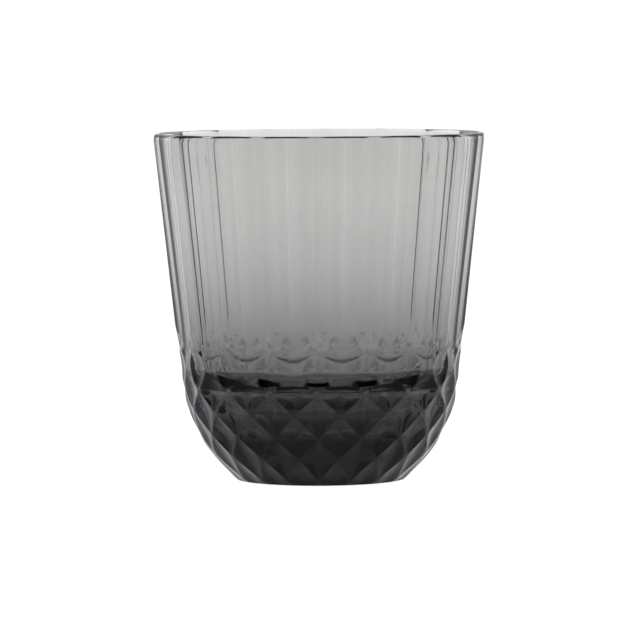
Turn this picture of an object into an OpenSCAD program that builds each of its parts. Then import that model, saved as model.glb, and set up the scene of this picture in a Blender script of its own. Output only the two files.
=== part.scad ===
// Low whiskey tumbler in pressed glass: shallow vertical flutes above a lattice
// of shallow diamond dishes, on a narrow flat base, with a smooth rounded cavity.
// A thin smoke-grey film covers the outside from just above the base to just
// below the bare lip.
// Frame: +Z up, origin at the centre of the underside, one flute facing +X.

/* [Overall] */
// Overall height
height = 92; // [86:0.5:98]
// Radius of the ridges between the flutes at the lip
rim_r = 44.5; // [43.5:0.1:45.5]
// Inward taper of the wall for each millimetre of depth
wall_taper = 0.1106; // [0.108:0.0002:0.113]

/* [Wall and cavity] */
// Wall thickness at the ridges, and so the width of the round lip
wall_t = 2.2; // [2:0.1:2.6]
// Height of the cavity floor above the underside
floor_z = 25.5; // [25:0.5:28]
// Radius of the rounded corner at the bottom of the cavity
floor_round = 6; // [5:0.5:8]

/* [Flutes and lattice] */
// Depth of each flute below a flat panel
flute = 0.3; // [0.1:0.05:0.5]
// Height at which the ridges between the flutes end in cusps
cusp_z = 41.6; // [41.4:0.1:42.2]
// Depth of the diamond dishes below the ridges around them, in the widest row
dish = 0.92; // [0.6:0.02:1]

/* [Base] */
// Radius of the edge that the glass stands on
foot_r = 22.4; // [21.8:0.1:23]
// Depth of the shallow hollow under the base
punt_depth = 0.7; // [0.4:0.1:1]
// Radius of the shallow hollow under the base
punt_r = 18; // [16:0.5:19]

/* [Smoke film] */
// Drawn thickness of the film
film_t = 0.12; // [0.1:0.01:0.16]
// Lowest edge of the film above the underside
film_lo = 0.6; // [0.4:0.1:1]
// Bare height left below the top of the lip
film_bare = 1.3; // [1.3:0.1:4]

/* [Hidden] */
$fn = 96;
sides = 18;
pitch = 360 / sides;
cols = sides * 6;
lip_r = wall_t / 2;
bond = 0.01;
// Ridge crossings of the lattice from the shoulder down: height and radius.
// They alternate between the ridges and the middles of the flutes above.
CROSS = [[36.3, 37.87], [30.9, 37.34], [24.7, 36.40], [19.3, 35.38], [13.0, 32.62], [7.4, 29.45], [0.93, 23.42]];

function edge_r(z) = rim_r - wall_taper * (height - z);

// 0 in the middle of a flute and 1 at its sides
function side_of(a) = abs(a - pitch * round(a / pitch)) / (pitch / 2);

function flute_r(a, z) = let (x = side_of(a))
    edge_r(z) * cos(pitch / 2) / cos(x * pitch / 2) - flute * (1 - x * x);

// The smooth form that all the ridges of the lattice lie on
function slope_at(i) = i == 0 ? 0.2 : let (p = CROSS[i - 1], q = CROSS[min(i + 1, 6)]) (p[1] - q[1]) / (p[0] - q[0]);
function gap_at(z) = len([for (k = [1 : 5]) if (z < CROSS[k][0]) 1]);
function env_r(z) = z > CROSS[0][0] ? CROSS[0][1] + 0.2 * (z - CROSS[0][0]) :
    z < CROSS[6][0] ? CROSS[6][1] + slope_at(6) * (z - CROSS[6][0]) :
    let (i = gap_at(z), lo = CROSS[i + 1], hi = CROSS[i], h = hi[0] - lo[0], t = (z - lo[0]) / h)
    (2 * pow(t, 3) - 3 * t * t + 1) * lo[1] + (pow(t, 3) - 2 * t * t + t) * h * slope_at(i + 1)
    + (3 * t * t - 2 * pow(t, 3)) * hi[1] + (pow(t, 3) - t * t) * h * slope_at(i);

// The diamonds: shallow dishes between two families of ridges, which lie at
// the odd numbers of u + v and u - v
function off_even(p) = p - 2 * round(p / 2);
function lattice_r(a, z) = z > 36.6 ? 1000 :
    let (i = gap_at(z), lo = CROSS[i + 1], hi = CROSS[i], v = i + 1 - (z - lo[0]) / (hi[0] - lo[0]),
         u = a / (pitch / 2), p = off_even(u + v), q = off_even(u - v),
         fade = 1 - 0.65 * max(0, min(1, (z - 33.6) / 3)))
    env_r(z) - dish * env_r(z) / 37.3 * fade * (1 - p * p) * (1 - q * q);

// The shoulder leans in faster than the wall, between the flutes and the diamonds
function shoulder_r(a, z) = z > cusp_z || z < 31.5 ? 1000 :
    let (x = side_of(a), ridge = env_r(z) + (z < 36.3 ? 0.03 : 0), low = z > 36.4 ? ridge - 0.42 : 37.43)
    ridge + min(low - ridge, 0) * (1 - pow(x, 1.2 + 0.8 * max(0, min(1, (z - 34.4) / 2))));

function lip_out_r(z) = z < height - lip_r ? 1000 :
    edge_r(height - lip_r) - lip_r + sqrt(max(0, pow(lip_r, 2) - pow(z - height + lip_r, 2)));

function foot_cut_r(z) = z > 2 ? 1000 : foot_r + 1.1 * z;

// The outside surface
function outside_r(a, z) = z > cusp_z + 0.01 ? min(flute_r(a, z), lip_out_r(z)) :
    min(flute_r(a, z), shoulder_r(a, z), foot_cut_r(z), lattice_r(a, z));

LATTICE = concat(
    [for (i = [6 : -1 : 1]) for (k = [0 : 2]) CROSS[i][0] + (CROSS[i - 1][0] - CROSS[i][0]) * k / 3],
    [for (k = [0 : 3]) CROSS[0][0] + (cusp_z - CROSS[0][0]) * k / 4]);
LEVELS_GLASS = concat([0], LATTICE,
    [cusp_z, height - lip_r, height - 0.72, height - 0.36, height - 0.1, height]);
LEVELS_FILM = concat([film_lo], LATTICE, [cusp_z, height - film_bare]);

function ring(z, drop) = [for (i = [0 : cols - 1]) let (a = i * 360 / cols, r = outside_r(a, z) - drop)
    [r * cos(a), r * sin(a), z]];

function spot(i, z) = let (a = i * 360 / cols, r = outside_r(a, z)) [r * cos(a), r * sin(a), z];

// How far the middle of a straight line between two points lies off the surface
function miss(p, q) = let (m = (p + q) / 2) abs(norm([m[0], m[1]]) - outside_r(atan2(m[1], m[0]), m[2]));

// Triangles between ring j and the next, each quad split the way that lies nearer the surface
function band(levels, j, base, flip) = [for (i = [0 : cols - 1])
    let (n = (i + 1) % cols, a = base + j * cols + i, b = base + j * cols + n, c = a + cols, d = b + cols,
         s = levels[j] > cusp_z - 0.01 ? true :
             miss(spot(i, levels[j]), spot(n, levels[j + 1])) <= miss(spot(n, levels[j]), spot(i, levels[j + 1])))
    each s ? (flip ? [[a, b, d], [a, d, c]] : [[a, d, b], [a, c, d]])
           : (flip ? [[a, b, c], [b, d, c]] : [[a, c, b], [b, c, d]])];

// A closed solid inside a stack of rings
module stack(levels, drop) {
    n = len(levels);
    polyhedron(
        points = [for (z = levels) each ring(z, drop)],
        faces = concat([for (j = [0 : n - 2]) each band(levels, j, 0, false)],
            [[for (i = [0 : cols - 1]) i]],
            [[for (i = [0 : cols - 1]) n * cols - 1 - i]]),
        convexity = 6);
}

// A closed shell between two stacks of rings
module shell(levels, drop_out, drop_in) {
    n = len(levels);
    m = n * cols;
    polyhedron(
        points = concat([for (z = levels) each ring(z, drop_out)], [for (z = levels) each ring(z, drop_in)]),
        faces = concat([for (j = [0 : n - 2]) each band(levels, j, 0, false)],
            [for (j = [0 : n - 2]) each band(levels, j, m, true)],
            [for (i = [0 : cols - 1]) let (k = (i + 1) % cols) each [[i, k, m + k], [i, m + k, m + i]]],
            [for (i = [0 : cols - 1]) let (k = (i + 1) % cols, o = (n - 1) * cols)
                each [[o + i, m + o + k, o + k], [o + i, m + o + i, m + o + k]]]),
        convexity = 8);
}

// The smooth tapered cavity, with a rounded bottom and the inner half of the lip
module cavity() {
    top_r = edge_r(height - lip_r) - film_t - wall_t;
    low_z = floor_z + floor_round;
    low_r = 35.75 - 0.1165 * (39.5 - low_z);
    rotate_extrude() difference() {
        union() {
            polygon([
                [0, floor_z], [low_r - floor_round, floor_z], [low_r, low_z],
                [top_r, height - lip_r], [top_r + lip_r, height - lip_r], [top_r + lip_r, height + 2], [0, height + 2]
            ]);
            intersection() {
                translate([low_r - floor_round, low_z]) circle(r = floor_round);
                translate([0, floor_z - 1]) square([low_r + 1, floor_round + 1]);
            }
        }
        translate([top_r + lip_r, height - lip_r + 0.03]) circle(r = lip_r);
    }
}

// The shallow hollow under the base
module punt() {
    translate([0, 0, -1]) cylinder(r1 = punt_r + 1.5, r2 = punt_r - 1, h = 1 + punt_depth);
}

module glass_body() {
    color([0.75, 0.76, 0.77, 0.5]) difference() {
        stack(LEVELS_GLASS, film_t + bond);
        cavity();
        punt();
    }
}

module smoke_film() {
    color([0.25, 0.26, 0.27, 0.7]) shell(LEVELS_FILM, 0, film_t);
}

glass_body();
smoke_film();
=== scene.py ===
import math

import bpy
import numpy as np
from mathutils import Matrix, Vector


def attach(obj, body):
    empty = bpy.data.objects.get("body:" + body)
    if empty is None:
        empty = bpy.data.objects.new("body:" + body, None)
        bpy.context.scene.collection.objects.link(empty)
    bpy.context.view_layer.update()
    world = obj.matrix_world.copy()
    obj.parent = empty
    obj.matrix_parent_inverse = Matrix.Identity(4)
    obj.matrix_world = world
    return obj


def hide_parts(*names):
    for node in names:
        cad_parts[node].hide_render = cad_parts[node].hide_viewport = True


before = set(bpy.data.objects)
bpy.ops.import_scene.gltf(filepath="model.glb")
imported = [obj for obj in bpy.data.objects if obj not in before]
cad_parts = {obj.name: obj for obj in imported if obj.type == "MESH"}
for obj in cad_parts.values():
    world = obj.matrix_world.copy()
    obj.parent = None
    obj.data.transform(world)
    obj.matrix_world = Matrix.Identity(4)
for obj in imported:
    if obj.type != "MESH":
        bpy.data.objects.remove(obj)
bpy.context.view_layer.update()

# ---------------------------------------------------------------- the outside form, in mm
H, RIM_R, TAPER, CUSP_Z = 92.0, 44.5, 0.1106, 41.6
WALL_T = 2.2
LIP_R = WALL_T / 2
FLOOR_Z, FLOOR_ROUND, LOW_R = 25.5, 6.0, 34.82
PITCH = math.radians(20.0)
FLUTE = 0.3
DISH = 0.92
# the ridge crossings from the shoulder down: height and radius
CROSS = np.array([(36.3, 37.87), (30.9, 37.34), (24.7, 36.40), (19.3, 35.38), (13.0, 32.62), (7.4, 29.45), (0.93, 23.42)])
CZ, CR = CROSS[::-1, 0], CROSS[::-1, 1]
SLOPE = np.array([(CR[1] - CR[0]) / (CZ[1] - CZ[0])] + [(CR[i + 1] - CR[i - 1]) / (CZ[i + 1] - CZ[i - 1]) for i in range(1, 6)] + [0.2])


def edge_r(z):
    return RIM_R - TAPER * (H - z)


def off_mid(a):
    return a - PITCH * np.round(a / PITCH)


def wall_r(a, z):
    x = np.abs(off_mid(a)) / (PITCH / 2)
    return edge_r(z) * math.cos(PITCH / 2) / np.cos(x * PITCH / 2) - FLUTE * (1 - x * x)


def segment(z):
    """Which gap between ridge crossings a height is in, and how far up it."""
    i = np.clip(np.searchsorted(CZ, z, side="right") - 1, 0, 5)
    return i, (z - CZ[i]) / (CZ[i + 1] - CZ[i])


def env_r(z):
    """The smooth form that all the ridges of the lattice lie on."""
    i, t = segment(z)
    h = CZ[i + 1] - CZ[i]
    r = ((2 * t**3 - 3 * t**2 + 1) * CR[i] + (t**3 - 2 * t**2 + t) * h * SLOPE[i]
         + (3 * t**2 - 2 * t**3) * CR[i + 1] + (t**3 - t**2) * h * SLOPE[i + 1])
    r = np.where(z > CZ[6], CR[6] + 0.2 * (z - CZ[6]), r)
    return np.where(z < CZ[0], CR[0] + SLOPE[0] * (z - CZ[0]), r)


def diagonals(a, z):
    """Position along the two families of ridges, which lie at the odd numbers."""
    i, t = segment(z)
    v, u = 6 - (i + t), a / (PITCH / 2)
    return u + v, u - v


def lattice_r(a, z):
    p, q = diagonals(a, z)
    p, q = p - 2 * np.round(p / 2), q - 2 * np.round(q / 2)
    fade = 1 - 0.65 * np.clip((z - 33.6) / 3.0, 0, 1)
    size = DISH * env_r(z) / 37.3
    return np.where(z < 36.6, env_r(z) - size * fade * (1 - p * p) * (1 - q * q), 1e3)


def shoulder_r(a, z):
    """Leans in faster than the wall, between the flutes and the diamonds."""
    x = np.abs(off_mid(a)) / (PITCH / 2)
    ridge = env_r(z) + np.where(z < 36.3, 0.03, 0)
    low = np.where(z > 36.4, ridge - 0.42, 37.43)
    power = 1.2 + 0.8 * np.clip((z - 34.4) / 2, 0, 1)
    return np.where((z > CUSP_Z) | (z < 31.5), 1e3, ridge + np.minimum(low - ridge, 0) * (1 - x**power))


def cutters(a, z):
    """Radius of every surface that shapes the outside, one row each; the outside is the lowest."""
    lip = edge_r(H - LIP_R) - LIP_R + np.sqrt(np.maximum(0, LIP_R**2 - (z - H + LIP_R) ** 2))
    return np.array([
        wall_r(a, z), shoulder_r(a, z), np.where(z < H - LIP_R, 1e3, lip),
        np.where(z > 2, 1e3, 22.4 + 1.1 * z), lattice_r(a, z),
    ])


def family(a, z, who):
    """One number per facet, so that two neighbours can be told apart."""
    p, q = diagonals(a, z)
    side = np.where(who == 0, np.round(a / PITCH) % 18, 0)
    side = np.where(who == 4, 40 * np.round(p / 2) + np.round(q / 2) + 5000, side)
    return (who * 100000 + side).astype(int)


def outside_r(a, z):
    return cutters(a, z).min(0)


M = 14                      # columns and rows to each half diamond
COLS = 36 * M
levels = [0.0, 0.3, 0.6]
marks = list(CZ)
for lo, hi in zip(marks[:-1], marks[1:]):
    levels += list(np.linspace(lo, hi, M, endpoint=False))
levels += list(np.linspace(36.3, CUSP_Z, 14, endpoint=False))
levels += list(np.linspace(CUSP_Z, 88.4, 16))
levels += [88.9, 89.4, 90.0, 90.5]
levels += [H - LIP_R + LIP_R * math.sin(t) for t in np.radians([6, 18, 30, 42, 54, 66, 78])]
levels = np.array(levels)
A, Z = np.meshgrid(np.arange(COLS) * 2 * math.pi / COLS, levels)


def snap(A, Z):
    """Moves each point near a ridge onto it, along its row or its column."""
    R = cutters(A, Z)
    who = R.argmin(0)
    fam = family(A, Z, who)
    rows, cols = A.shape
    best = np.full(A.shape, 9.0)
    dA, dZ = np.zeros_like(A), np.zeros_like(Z)
    stepA = 2 * math.pi / COLS
    for axis in (1, 0):
        if axis == 1:
            nxtA, nxtZ = A + stepA, Z
        else:
            nxtA, nxtZ = A[:-1], Z[1:]
        a0, z0 = (A, Z) if axis == 1 else (A[:-1], Z[:-1])
        f0 = fam if axis == 1 else fam[:-1]
        f1 = np.roll(fam, -1, 1) if axis == 1 else fam[1:]
        diff = f0 != f1
        lo, hi = np.zeros(a0.shape), np.ones(a0.shape)
        base = f0
        for _ in range(14):
            mid = (lo + hi) / 2
            ma, mz = a0 + (nxtA - a0) * mid, z0 + (nxtZ - z0) * mid
            c = cutters(ma, mz)
            fm = family(ma, mz, c.argmin(0))
            same = fm == base
            lo = np.where(same, mid, lo)
            hi = np.where(same, hi, mid)
        t = (lo + hi) / 2
        ok0, ok1 = diff & (t <= 0.5), diff & (t > 0.5)
        if axis == 1:
            cand0, cand1 = t, 1 - t
            use = ok0 & (cand0 < best)
            best = np.where(use, cand0, best); dA = np.where(use, t * stepA, dA); dZ = np.where(use, 0, dZ)
            c1, o1 = np.roll(cand1, 1, 1), np.roll(ok1, 1, 1)
            use = o1 & (c1 < best)
            best = np.where(use, c1, best); dA = np.where(use, -c1 * stepA, dA); dZ = np.where(use, 0, dZ)
        else:
            span = nxtZ - z0
            pad = np.zeros((1, cols))
            c0, o0, s0 = np.vstack([t, pad]), np.vstack([ok0, pad > 1]), np.vstack([span, pad])
            use = o0 & (c0 < best)
            best = np.where(use, c0, best); dA = np.where(use, 0, dA); dZ = np.where(use, c0 * s0, dZ)
            c1, o1, s1 = np.vstack([pad, 1 - t]), np.vstack([pad > 1, ok1]), np.vstack([pad, span])
            use = o1 & (c1 < best)
            best = np.where(use, c1, best); dA = np.where(use, 0, dA); dZ = np.where(use, -c1 * s1, dZ)
    inner = (Z > 0.7) & (Z < 91.9)
    return A + dA * inner, Z + dZ * inner


A2, Z2 = snap(A, Z)
R2 = outside_r(A2, Z2)
drop = 0.13 * np.clip((Z2 - 90.5) / 0.4, 0, 1)
R2 = R2 - drop
P_out = np.stack([R2 * np.cos(A2), R2 * np.sin(A2), Z2], -1)

# ---------------------------------------------------------------- the smooth inside, the lip and the underside
top_in = edge_r(H - LIP_R) - 0.12 - WALL_T
prof = []                                                    # radius, height, from the lip down to the floor's centre
lip_c = (top_in + LIP_R, H - LIP_R)
for t in np.radians([90, 102, 114, 126, 138, 150, 162, 174]):
    prof.append((lip_c[0] + LIP_R * math.cos(t), lip_c[1] + LIP_R * math.sin(t)))
for s in np.linspace(0, 1, 14)[1:]:
    prof.append((top_in + (LOW_R - top_in) * s, H - LIP_R + (FLOOR_Z + FLOOR_ROUND - H + LIP_R) * s))
for t in np.radians(np.linspace(0, 90, 18)[1:]):
    prof.append((LOW_R - FLOOR_ROUND + FLOOR_ROUND * math.cos(t), FLOOR_Z + FLOOR_ROUND - FLOOR_ROUND * math.sin(t)))
for s in np.linspace(1, 0, 17)[1:-1]:
    prof.append(((LOW_R - FLOOR_ROUND) * s, FLOOR_Z))
ang = np.arange(COLS) * 2 * math.pi / COLS
P_in = np.array([[(r * math.cos(a), r * math.sin(a), z) for a in ang] for r, z in prof])
under = [(21.6, 0.0), (20.4, 0.12), (19.0, 0.38), (17.5, 0.58), (15.0, 0.66), (11.0, 0.69), (6.0, 0.7), (2.0, 0.7)]
P_un = np.array([[(r * math.cos(a), r * math.sin(a), z) for a in ang] for r, z in under])


def tube(n_rings, base, flip):
    """Quads between rings stacked from base."""
    i = np.arange(COLS); n = (i + 1) % COLS
    out = []
    for j in range(n_rings - 1):
        a, b = base + j * COLS + i, base + j * COLS + n
        c, d = a + COLS, b + COLS
        q = np.stack([a, b, d, c], -1)
        out.append(q[:, ::-1] if flip else q)
    return out


n_out, n_in, n_un = len(levels), len(P_in), len(P_un)
verts = np.concatenate([P_out.reshape(-1, 3), P_in.reshape(-1, 3), P_un.reshape(-1, 3),
                        [[0, 0, FLOOR_Z], [0, 0, 0.7]]])
o_in, o_un = n_out * COLS, (n_out + n_in) * COLS
c_floor, c_under = len(verts) - 2, len(verts) - 1
faces, mats = [], []

# the outside, each quad split along the diagonal that lies closer to the true surface
i = np.arange(COLS); n = (i + 1) % COLS
for j in range(n_out - 1):
    a, b = j * COLS + i, j * COLS + n
    c, d = a + COLS, b + COLS
    def mid_err(p, q, ja, jb, ia, ib):
        aa, ab = A2[ja, ia].copy(), A2[jb, ib].copy()
        ab = np.where(ab - aa > math.pi, ab - 2 * math.pi, np.where(aa - ab > math.pi, ab + 2 * math.pi, ab))
        za, zb = Z2[ja, ia], Z2[jb, ib]
        mid = (verts[p] + verts[q]) / 2
        ma = np.arctan2(mid[:, 1], mid[:, 0])
        r = outside_r(ma % (2 * math.pi), mid[:, 2])
        return np.abs(r - np.hypot(mid[:, 0], mid[:, 1]))
    if levels[j] < CUSP_Z:
        e1, e2 = mid_err(a, d, j, j + 1, i, n), mid_err(b, c, j, j + 1, n, i)
    else:
        e1, e2 = np.zeros(COLS), np.ones(COLS)
    one = e1 <= e2
    t1 = np.where(one[:, None], np.stack([a, b, d], -1), np.stack([a, b, c], -1))
    t2 = np.where(one[:, None], np.stack([a, d, c], -1), np.stack([b, d, c], -1))
    both = np.concatenate([t1, t2])
    faces += both.tolist()
    mats += [1 if levels[j] < 91.6 else 0] * len(both)
top = (n_out - 1) * COLS
for k in range(COLS):
    m = (k + 1) % COLS
    faces.append([top + k, top + m, o_in + m, o_in + k]); mats.append(0)
    faces.append([k, o_un + k, o_un + m, m]); mats.append(0)
for q in tube(n_in, o_in, False):
    faces += q.tolist(); mats += [0] * len(q)
for q in tube(n_un, o_un, True):
    faces += q.tolist(); mats += [0] * len(q)
lf, lu = o_in + (n_in - 1) * COLS, o_un + (n_un - 1) * COLS
for k in range(COLS):
    m = (k + 1) % COLS
    faces.append([lf + k, lf + m, c_floor]); mats.append(0)
    faces.append([lu + m, lu + k, c_under]); mats.append(0)

mesh = bpy.data.meshes.new("tumbler_glass")
mesh.from_pydata((verts / 1000.0).tolist(), [], faces)
mesh.polygons.foreach_set("use_smooth", np.ones(len(faces), dtype=bool))
mesh.polygons.foreach_set("material_index", np.array(mats, dtype=np.int32))
mesh.update()
tumbler = bpy.data.objects.new("tumbler_glass", mesh)
bpy.context.scene.collection.objects.link(tumbler)
import bmesh
bm = bmesh.new(); bm.from_mesh(mesh)
print("open edges", sum(1 for e in bm.edges if not e.is_manifold), "volume cm3", round(bm.calc_volume() * 1e6, 1), "faces", len(bm.faces))
bm.free()


# ---------------------------------------------------------------- materials
def new_mat(name):
    m = bpy.data.materials.new(name)
    m.use_nodes = True
    nt = m.node_tree
    nt.nodes.clear()
    return m, nt


def glassy(name, ramp):
    m, nt = new_mat(name)
    N, L = nt.nodes, nt.links
    out = N.new("ShaderNodeOutputMaterial")
    geo = N.new("ShaderNodeNewGeometry")
    mix = N.new("ShaderNodeMixShader")
    fre = N.new("ShaderNodeFresnel"); fre.inputs["IOR"].default_value = 1.5
    refr = N.new("ShaderNodeBsdfRefraction"); refr.inputs["IOR"].default_value = 1.5
    refr.inputs["Roughness"].default_value = 0.0
    glos = N.new("ShaderNodeBsdfGlossy"); glos.inputs["Roughness"].default_value = 0.0
    L.new(fre.outputs[0], mix.inputs[0]); L.new(refr.outputs[0], mix.inputs[1]); L.new(glos.outputs[0], mix.inputs[2])
    L.new(mix.outputs[0], out.inputs["Surface"])
    if ramp is None:
        refr.inputs["Color"].default_value = (0.99, 0.992, 0.99, 1)
        glos.inputs["Color"].default_value = (1, 1, 1, 1)
        # the plunger leaves a slow ripple in the cavity's floor and corner
        tc = N.new("ShaderNodeTexCoord")
        sep = N.new("ShaderNodeSeparateXYZ"); L.new(tc.outputs["Object"], sep.inputs[0])
        low = N.new("ShaderNodeMapRange"); low.interpolation_type = "SMOOTHSTEP"
        low.inputs["From Min"].default_value = 0.0285; low.inputs["From Max"].default_value = 0.0340
        low.inputs["To Min"].default_value = 1.0; low.inputs["To Max"].default_value = 0.0
        L.new(sep.outputs["Z"], low.inputs["Value"])
        noise = N.new("ShaderNodeTexNoise"); noise.inputs["Scale"].default_value = 130; noise.inputs["Detail"].default_value = 1
        L.new(tc.outputs["Object"], noise.inputs["Vector"])
        lift = N.new("ShaderNodeMath"); lift.operation = "MULTIPLY"
        L.new(noise.outputs["Fac"], lift.inputs[0]); L.new(low.outputs[0], lift.inputs[1])
        bump = N.new("ShaderNodeBump"); bump.inputs["Strength"].default_value = 1.0
        bump.inputs["Distance"].default_value = 0.0009
        L.new(lift.outputs[0], bump.inputs["Height"])
        for n in (refr, glos, fre):
            L.new(bump.outputs["Normal"], n.inputs["Normal"])
        return m
    tc = N.new("ShaderNodeTexCoord")
    sep = N.new("ShaderNodeSeparateXYZ"); L.new(tc.outputs["Object"], sep.inputs[0])
    div = N.new("ShaderNodeMath"); div.operation = "DIVIDE"; div.inputs[1].default_value = H / 1000
    L.new(sep.outputs["Z"], div.inputs[0])
    cr = N.new("ShaderNodeValToRGB"); L.new(div.outputs[0], cr.inputs[0])
    cr.color_ramp.interpolation = "LINEAR"
    els = cr.color_ramp.elements
    while len(els) > 1:
        els.remove(els[0])
    els[0].position = ramp[0][0]; els[0].color = (*ramp[0][1], 1)
    for p, c in ramp[1:]:
        e = els.new(p); e.color = (*c, 1)
    # painted light on the film above the shoulder: the fine lighter line down the middle of each flute is a painted
    # highlight, and the tint grows a little darker towards the ridges
    at = N.new("ShaderNodeMath"); at.operation = "ARCTAN2"
    L.new(sep.outputs["Y"], at.inputs[0]); L.new(sep.outputs["X"], at.inputs[1])
    pp = N.new("ShaderNodeMath"); pp.operation = "PINGPONG"; pp.inputs[1].default_value = PITCH / 2
    L.new(at.outputs[0], pp.inputs[0])
    across = N.new("ShaderNodeMapRange"); across.inputs["From Max"].default_value = PITCH / 2
    L.new(pp.outputs[0], across.inputs["Value"])
    flute_highlight_bands = N.new("ShaderNodeValToRGB"); L.new(across.outputs[0], flute_highlight_bands.inputs[0])
    be = flute_highlight_bands.color_ramp.elements
    be[0].position = 0.0; be[0].color = (1.045,) * 3 + (1,)
    be[1].position = 1.0; be[1].color = (0.965,) * 3 + (1,)
    for q, v in ((0.02, 1.045), (0.045, 1.0), (0.5, 1.0), (0.66, 0.975)):
        e = be.new(q); e.color = (v, v, v, 1)
    zone = N.new("ShaderNodeMapRange"); zone.interpolation_type = "SMOOTHSTEP"
    zone.inputs["From Min"].default_value = 0.037; zone.inputs["From Max"].default_value = 0.044
    L.new(sep.outputs["Z"], zone.inputs["Value"])
    # slow cloudiness of a sprayed coat
    cloud = N.new("ShaderNodeTexNoise"); cloud.inputs["Scale"].default_value = 55; cloud.inputs["Detail"].default_value = 3
    L.new(tc.outputs["Object"], cloud.inputs["Vector"])
    cl = N.new("ShaderNodeMapRange"); cl.inputs["To Min"].default_value = 0.965; cl.inputs["To Max"].default_value = 1.035
    L.new(cloud.outputs["Fac"], cl.inputs["Value"])
    # multiplies the painted flute highlight into the tint, only above the shoulder
    by_flute_highlight = N.new("ShaderNodeMix"); by_flute_highlight.data_type = "RGBA"; by_flute_highlight.blend_type = "MULTIPLY"; by_flute_highlight.clamp_factor = True
    L.new(zone.outputs[0], by_flute_highlight.inputs[0]); L.new(cr.outputs[0], by_flute_highlight.inputs[6]); L.new(flute_highlight_bands.outputs[0], by_flute_highlight.inputs[7])
    by_cloud = N.new("ShaderNodeVectorMath"); by_cloud.operation = "SCALE"
    L.new(by_flute_highlight.outputs[2], by_cloud.inputs[0]); L.new(cl.outputs[0], by_cloud.inputs["Scale"])
    tint = by_cloud.outputs[0]
    L.new(tint, refr.inputs["Color"])
    # the film's outer face mirrors less than bare glass, except at a glancing angle
    fre2 = N.new("ShaderNodeFresnel"); fre2.inputs["IOR"].default_value = 1.2
    pick = N.new("ShaderNodeMix"); pick.data_type = "FLOAT"
    L.new(geo.outputs["Backfacing"], pick.inputs[0]); L.new(fre2.outputs[0], pick.inputs[2])
    L.new(fre.outputs[0], pick.inputs[3]); L.new(pick.outputs[0], mix.inputs[0])
    sq = N.new("ShaderNodeMix"); sq.data_type = "RGBA"; sq.blend_type = "MIX"
    L.new(geo.outputs["Backfacing"], sq.inputs["Factor"])
    tw = N.new("ShaderNodeMix"); tw.data_type = "RGBA"; tw.blend_type = "MULTIPLY"; tw.inputs["Factor"].default_value = 1
    # inputs named A and B repeat for each data type, so the colour ones are found by index
    L.new(tint, tw.inputs[6]); L.new(tint, tw.inputs[7])
    sq.inputs[6].default_value = (0.94, 0.965, 1.0, 1)
    L.new(tw.outputs[2], sq.inputs[7])
    L.new(sq.outputs[2], glos.inputs["Color"])
    return m


g = lambda v: (v, v * 1.005, v)
FILM = [(0, 0.035), (9, 0.045), (13, 0.06), (20, 0.14), (26, 0.26), (33, 0.40), (36.5, 0.46), (40, 0.495), (44, 0.54),
        (50, 0.595), (57, 0.65), (66, 0.69), (76, 0.71), (92, 0.70)]
ramp = []
for z, t in FILM:
    k = 1 - t                     # the dark end leans blue, the pale end leans warm
    ramp.append((z / H, (t * (1.003 - 0.015 * k), t * 0.999, t * (0.978 + 0.04 * k))))
mat_clear = glassy("clear_glass", None)
mat_smoke = glassy("smoke_coated_glass", ramp)
mesh.materials.append(mat_clear)
mesh.materials.append(mat_smoke)

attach(tumbler, "root")
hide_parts("glass_body", "smoke_film")

# ---------------------------------------------------------------- floor, light and camera
# light by sideways direction, behind and in front of the glass, and by height (0.5 is level)
BEHIND = [(0.0, 1.04), (0.075, 1.04), (0.13, 0.80), (0.30, 0.80), (0.46, 1.9), (0.78, 1.9), (0.90, 0.9), (1.0, 0.5)]
FRONT = [(0.0, 0.04), (0.35, 0.06), (0.6, 0.22), (0.88, 0.5), (1.0, 0.8)]
HIGH = [(0.0, 1.0), (0.51, 1.0), (0.56, 0.66), (0.8, 0.6), (1.0, 0.6)]
OVER = [(0.0, 0.0), (0.60, 0.0), (0.70, 0.7), (1.0, 0.8)]
sc = bpy.context.scene
sc.view_settings.view_transform = "Standard"
floor_m = bpy.data.meshes.new("studio_floor")
s = 3.0
floor_m.from_pydata([(-s, -s, 0), (s, -s, 0), (s, s, 0), (-s, s, 0)], [], [(0, 1, 2, 3)])
floor = bpy.data.objects.new("studio_floor", floor_m)
sc.collection.objects.link(floor)
fm, nt = new_mat("studio_floor")
em = nt.nodes.new("ShaderNodeEmission"); em.inputs["Color"].default_value = (1, 1, 1, 1); em.inputs["Strength"].default_value = 0.95
df = nt.nodes.new("ShaderNodeBsdfDiffuse"); df.inputs["Color"].default_value = (0.12, 0.12, 0.12, 1)
ad = nt.nodes.new("ShaderNodeAddShader"); fo = nt.nodes.new("ShaderNodeOutputMaterial")
tcf = nt.nodes.new("ShaderNodeTexCoord"); ln = nt.nodes.new("ShaderNodeVectorMath"); ln.operation = "LENGTH"
nt.links.new(tcf.outputs["Object"], ln.inputs[0])
# painted contact shadow: the floor's glow drops to almost nothing inside a disc just wider than the foot, under the
# glass
painted_contact_shadow = nt.nodes.new("ShaderNodeMapRange"); painted_contact_shadow.interpolation_type = "SMOOTHSTEP"
painted_contact_shadow.inputs["From Min"].default_value = 0.0219; painted_contact_shadow.inputs["From Max"].default_value = 0.0226
painted_contact_shadow.inputs["To Min"].default_value = 0.01; painted_contact_shadow.inputs["To Max"].default_value = 0.97
nt.links.new(ln.outputs["Value"], painted_contact_shadow.inputs["Value"]); nt.links.new(painted_contact_shadow.outputs[0], em.inputs["Strength"])
nt.links.new(em.outputs[0], ad.inputs[0]); nt.links.new(df.outputs[0], ad.inputs[1]); nt.links.new(ad.outputs[0], fo.inputs["Surface"])
floor_m.materials.append(fm)

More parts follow.
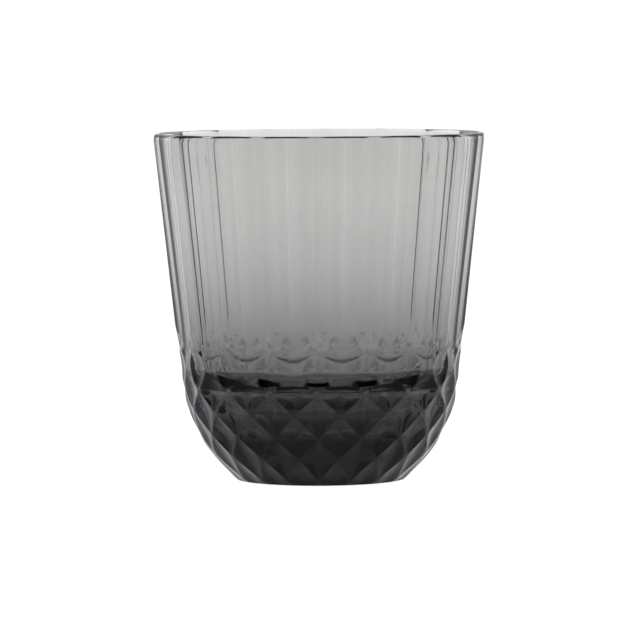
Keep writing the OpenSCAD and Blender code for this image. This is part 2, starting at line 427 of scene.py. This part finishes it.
w = bpy.data.worlds.new("studio"); sc.world = w; w.use_nodes = True
nt = w.node_tree; nt.nodes.clear()
N, L = nt.nodes, nt.links
wo = N.new("ShaderNodeOutputWorld"); bg = N.new("ShaderNodeBackground"); L.new(bg.outputs[0], wo.inputs[0])
tc = N.new("ShaderNodeTexCoord")
rot = N.new("ShaderNodeMapping"); rot.vector_type = "VECTOR"
rot.inputs["Rotation"].default_value = (0, 0, math.radians(-1.3))
L.new(tc.outputs["Generated"], rot.inputs["Vector"])
xyz = N.new("ShaderNodeSeparateXYZ"); L.new(rot.outputs[0], xyz.inputs[0])


def math_node(op, a, b=None, clamp=False):
    n = N.new("ShaderNodeMath"); n.operation = op; n.use_clamp = clamp
    for k, v in ((0, a), (1, b)):
        if v is None:
            continue
        if isinstance(v, (int, float)):
            n.inputs[k].default_value = v
        else:
            L.new(v, n.inputs[k])
    return n.outputs[0]


def curve(src, stops):
    n = N.new("ShaderNodeValToRGB"); L.new(src, n.inputs[0])
    e = n.color_ramp.elements
    e[0].position = stops[0][0]; e[0].color = (stops[0][1],) * 3 + (1,)
    e[1].position = stops[-1][0]; e[1].color = (stops[-1][1],) * 3 + (1,)
    for q, v in stops[1:-1]:
        k = e.new(q); k.color = (v, v, v, 1)
    return n.outputs[0]


side = math_node("ABSOLUTE", xyz.outputs["X"])
behind = curve(side, BEHIND)
front = curve(side, FRONT)
turn = math_node("MULTIPLY_ADD", xyz.outputs["Y"], 5.0, clamp=True)
turn.node.inputs[2].default_value = 0.5
mixw = N.new("ShaderNodeMix"); mixw.data_type = "RGBA"
L.new(turn, mixw.inputs[0]); L.new(front, mixw.inputs[6]); L.new(behind, mixw.inputs[7])
rise = math_node("MULTIPLY_ADD", xyz.outputs["Z"], 0.5)
rise.node.inputs[2].default_value = 0.5
high = curve(rise, HIGH)
mul = N.new("ShaderNodeMix"); mul.data_type = "RGBA"; mul.blend_type = "MULTIPLY"; mul.inputs[0].default_value = 1
L.new(mixw.outputs[2], mul.inputs[6]); L.new(high, mul.inputs[7])
over = curve(rise, OVER)
add = N.new("ShaderNodeVectorMath"); add.operation = "ADD"
L.new(mul.outputs[2], add.inputs[0]); L.new(over, add.inputs[1])
L.new(add.outputs[0], bg.inputs["Color"])

cam_d = bpy.data.cameras.new("camera"); cam = bpy.data.objects.new("camera", cam_d); sc.collection.objects.link(cam)
cam_d.lens = 4934 / 640 * 36; cam_d.sensor_width = 36; cam_d.clip_start = 0.1; cam_d.clip_end = 50
az = math.radians(-88.7)
pos = Vector((1.3095 * math.cos(az), 1.3095 * math.sin(az), 0.124))
right = Vector((-math.sin(az), math.cos(az), 0))
target = Vector((0, 0, 0.04215)) - right * 0.00008
f = (target - pos).normalized()
r0 = f.cross(Vector((0, 0, 1))).normalized(); u0 = r0.cross(f)
roll = math.radians(0.30)
r1 = r0 * math.cos(roll) - u0 * math.sin(roll); u1 = u0 * math.cos(roll) + r0 * math.sin(roll)
cam.matrix_world = Matrix.Translation(pos) @ Matrix((r1, u1, -f)).transposed().to_4x4()
sc.camera = cam
sc.cycles.max_bounces = 24
sc.cycles.transmission_bounces = 24
sc.cycles.glossy_bounces = 24
